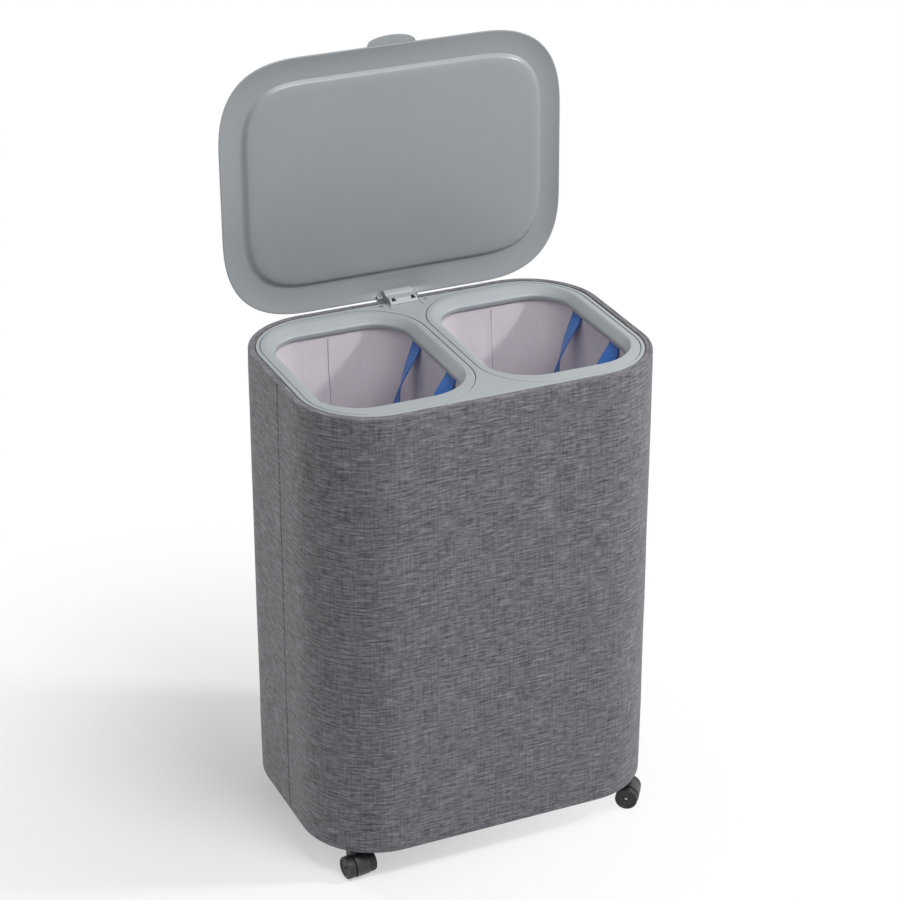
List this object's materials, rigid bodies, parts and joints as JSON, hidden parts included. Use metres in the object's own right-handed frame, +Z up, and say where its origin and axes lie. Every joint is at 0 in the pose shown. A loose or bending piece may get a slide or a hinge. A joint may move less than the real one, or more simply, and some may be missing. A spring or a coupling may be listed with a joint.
{
  "type": "laundry hamper",
  "caption": "Rolling laundry hamper with a fabric-covered body, hinged flat lid and side by side lift-out bins with carry straps.",
  "frame": {"origin": "on the floor, under the middle of the whole hamper with its lid open", "axes": "+Z up, -Y towards the front where the lid's thumb tab lies when closed, +X to the right"},
  "size_m": [0.5, 0.3692, 1.0542],
  "materials": {
    "linen": "grey linen-look woven cover, matt",
    "board": "pressed fibre board",
    "grey_plastic": "satin light grey moulded plastic",
    "lid_plastic": "satin mid grey moulded plastic",
    "base_plastic": "dark grey moulded plastic",
    "lining": "smooth pale grey woven lining",
    "webbing": "blue woven webbing",
    "black_plastic": "charcoal moulded plastic",
    "tread": "black moulded wheel",
    "steel": "plated steel"
  },
  "bodies": {
    "body": {"fabric_cover": "linen", "wall_board": "board", "base_tray": "base_plastic", "top_frame": "grey_plastic", "frame_screw_left": "steel", "frame_screw_right": "steel", "hinge_housing": "grey_plastic", "hinge_pin": "steel", "caster_front_left_stem": "steel", "caster_front_right_stem": "steel", "caster_rear_left_stem": "steel", "caster_rear_right_stem": "steel"},
    "lid": {"lid_shell": "lid_plastic", "lid_inner_panel": "lid_plastic"},
    "bin_left": {"ring_left": "grey_plastic", "bag_left": "lining", "strap_left_left": "webbing", "strap_left_right": "webbing"},
    "bin_right": {"ring_right": "grey_plastic", "bag_right": "lining", "strap_right_left": "webbing", "strap_right_right": "webbing"},
    "caster_front_left": {"caster_front_left_hood": "black_plastic", "caster_front_left_axle": "steel"},
    "caster_front_left_wheel_left": {"caster_front_left_wheel_left": "tread"},
    "caster_front_left_wheel_right": {"caster_front_left_wheel_right": "tread"},
    "caster_front_right": {"caster_front_right_hood": "black_plastic", "caster_front_right_axle": "steel"},
    "caster_front_right_wheel_left": {"caster_front_right_wheel_left": "tread"},
    "caster_front_right_wheel_right": {"caster_front_right_wheel_right": "tread"},
    "caster_rear_left": {"caster_rear_left_hood": "black_plastic", "caster_rear_left_axle": "steel"},
    "caster_rear_left_wheel_left": {"caster_rear_left_wheel_left": "tread"},
    "caster_rear_left_wheel_right": {"caster_rear_left_wheel_right": "tread"},
    "caster_rear_right": {"caster_rear_right_hood": "black_plastic", "caster_rear_right_axle": "steel"},
    "caster_rear_right_wheel_left": {"caster_rear_right_wheel_left": "tread"},
    "caster_rear_right_wheel_right": {"caster_rear_right_wheel_right": "tread"}
  },
  "joints": [
    {"name": "lid_hinge", "type": "hinge", "parent": "body", "child": "lid", "pos_m": [0, 0.16643, 0.6882], "axis": [-1, 0, 0], "range_deg": [-91, 0]},
    {"name": "bin_left_lift", "type": "slide", "parent": "body", "child": "bin_left", "axis": [0, 0, 1], "range_m": [0, 0.62]},
    {"name": "bin_right_lift", "type": "slide", "parent": "body", "child": "bin_right", "axis": [0, 0, 1], "range_m": [0, 0.62]},
    {"name": "caster_front_left_swivel", "type": "hinge", "parent": "body", "child": "caster_front_left", "pos_m": [-0.202, -0.14117, 0.036], "axis": [0, 0, 1], "continuous": true},
    {"name": "caster_front_left_wheel_left_spin", "type": "hinge", "parent": "caster_front_left", "child": "caster_front_left_wheel_left", "pos_m": [-0.20019, -0.15404, 0.01569], "axis": [0.9903, 0.1392, 0], "continuous": true},
    {"name": "caster_front_left_wheel_right_spin", "type": "hinge", "parent": "caster_front_left", "child": "caster_front_left_wheel_right", "pos_m": [-0.20019, -0.15404, 0.01569], "axis": [0.9903, 0.1392, 0], "continuous": true},
    {"name": "caster_front_right_swivel", "type": "hinge", "parent": "body", "child": "caster_front_right", "pos_m": [0.202, -0.14117, 0.036], "axis": [0, 0, 1], "continuous": true},
    {"name": "caster_front_right_wheel_left_spin", "type": "hinge", "parent": "caster_front_right", "child": "caster_front_right_wheel_left", "pos_m": [0.21252, -0.14881, 0.01569], "axis": [0.5878, 0.809, 0], "continuous": true},
    {"name": "caster_front_right_wheel_right_spin", "type": "hinge", "parent": "caster_front_right", "child": "caster_front_right_wheel_right", "pos_m": [0.21252, -0.14881, 0.01569], "axis": [0.5878, 0.809, 0], "continuous": true},
    {"name": "caster_rear_left_swivel", "type": "hinge", "parent": "body", "child": "caster_rear_left", "pos_m": [-0.202, 0.11883, 0.036], "axis": [0, 0, 1], "continuous": true},
    {"name": "caster_rear_left_wheel_left_spin", "type": "hinge", "parent": "caster_rear_left", "child": "caster_rear_left_wheel_left", "pos_m": [-0.19713, 0.13089, 0.01569], "axis": [-0.9272, 0.3746, 0], "continuous": true},
    {"name": "caster_rear_left_wheel_right_spin", "type": "hinge", "parent": "caster_rear_left", "child": "caster_rear_left_wheel_right", "pos_m": [-0.19713, 0.13089, 0.01569], "axis": [-0.9272, 0.3746, 0], "continuous": true},
    {"name": "caster_rear_right_swivel", "type": "hinge", "parent": "body", "child": "caster_rear_right", "pos_m": [0.202, 0.11883, 0.036], "axis": [0, 0, 1], "continuous": true},
    {"name": "caster_rear_right_wheel_left_spin", "type": "hinge", "parent": "caster_rear_right", "child": "caster_rear_right_wheel_left", "pos_m": [0.19842, 0.13133, 0.01569], "axis": [-0.9613, -0.2756, 0], "continuous": true},
    {"name": "caster_rear_right_wheel_right_spin", "type": "hinge", "parent": "caster_rear_right", "child": "caster_rear_right_wheel_right", "pos_m": [0.19842, 0.13133, 0.01569], "axis": [-0.9613, -0.2756, 0], "continuous": true}
  ]
}
